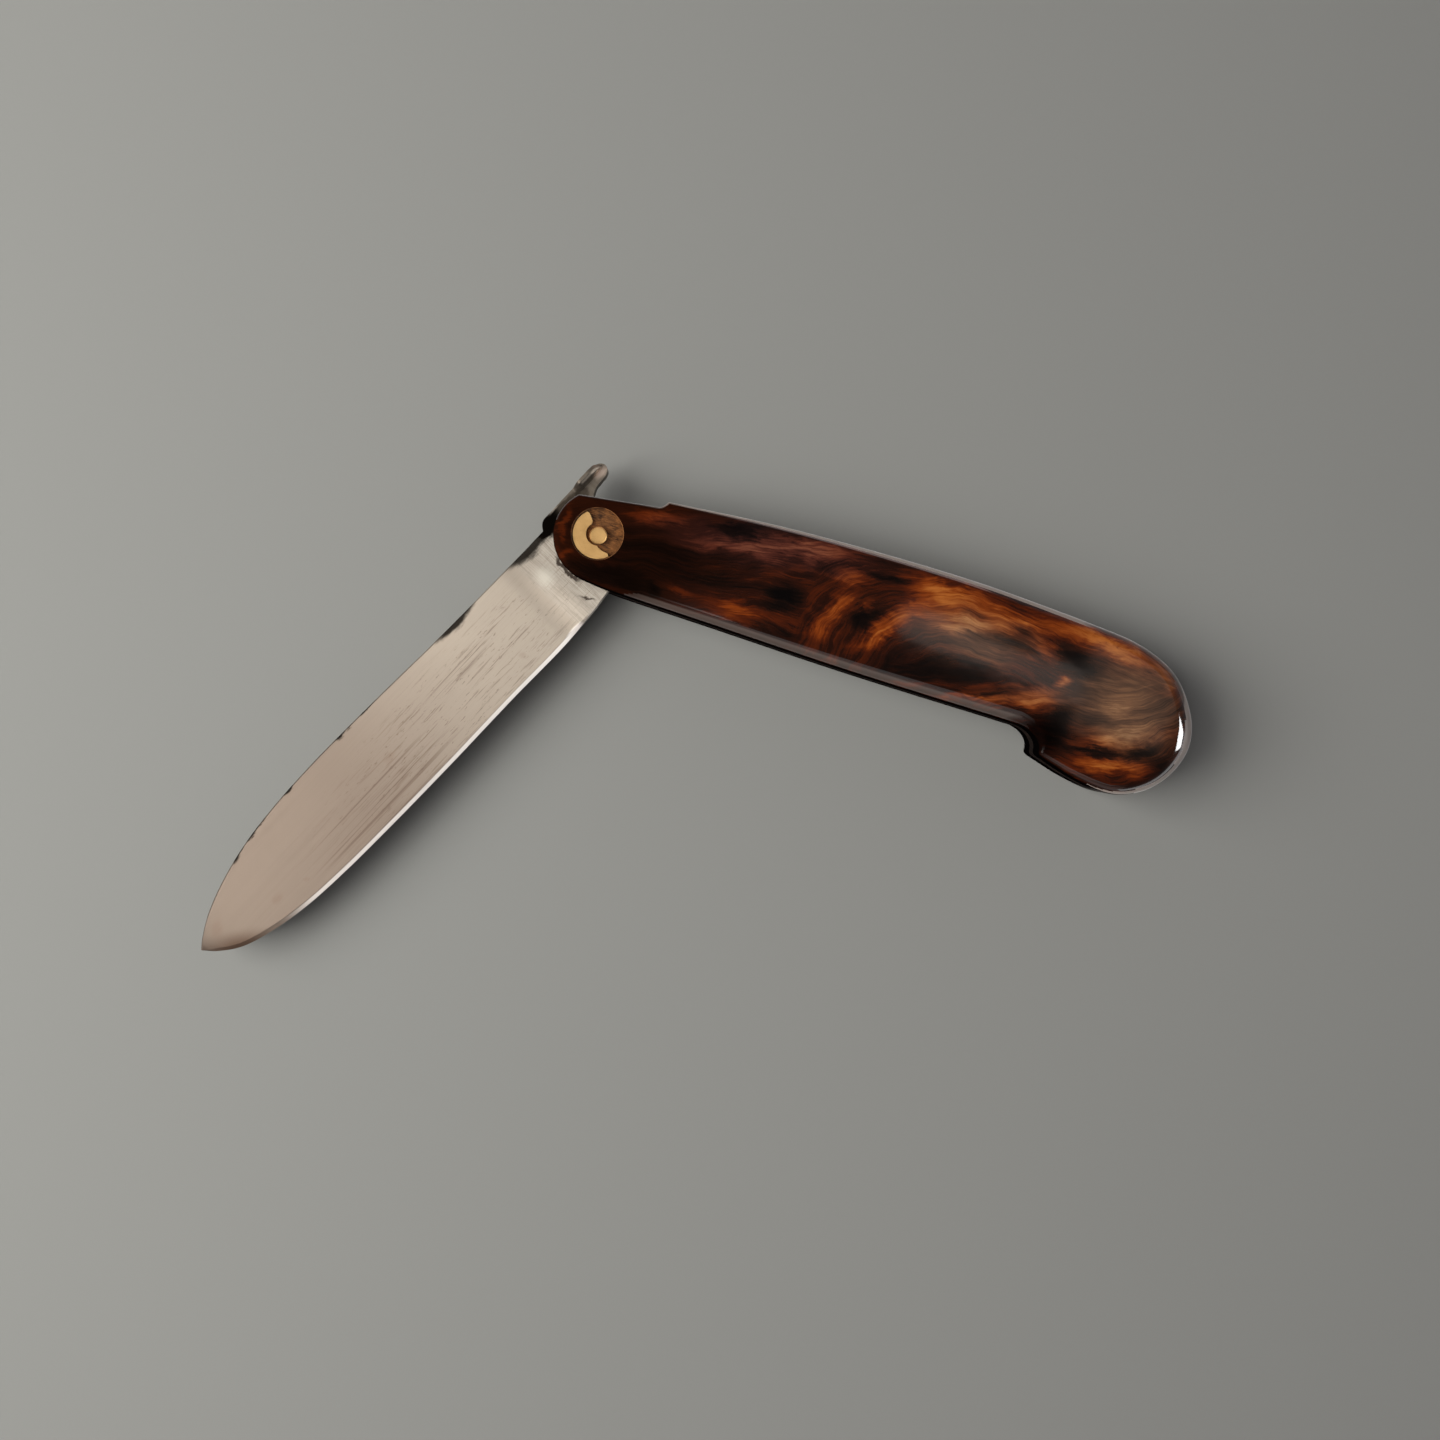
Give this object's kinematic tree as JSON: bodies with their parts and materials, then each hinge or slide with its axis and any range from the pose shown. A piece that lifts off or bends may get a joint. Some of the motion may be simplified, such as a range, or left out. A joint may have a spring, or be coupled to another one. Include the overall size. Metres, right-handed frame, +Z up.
{
  "type": "folding pocket knife",
  "caption": "Friction folding knife: pistol-grip wooden handle, flat-ground steel blade with a thumb lever, brass pivot pin and let-in washers.",
  "frame": {"origin": "on the pivot's axis, in the plane of the handle's lower flat side", "axes": "+X along the handle from the pivot to the butt, +Y to the handle's back, +Z up along the pivot pin"},
  "size_m": [0.145, 0.0945, 0.013],
  "materials": {
    "handle_wood": "gloss lacquer",
    "blade_steel": "satin",
    "brass": "satin"
  },
  "bodies": {
    "handle": {"handle": "handle_wood", "pivot_pin": "brass", "upper_washer": "brass", "lower_washer": "brass"},
    "blade": {"blade": "blade_steel"}
  },
  "joints": [
    {"name": "blade_pivot", "type": "hinge", "parent": "handle", "child": "blade", "pos_m": [0, 0, 0.0065], "axis": [0, 0, 1], "range_deg": [-59.4, 116.8]}
  ]
}
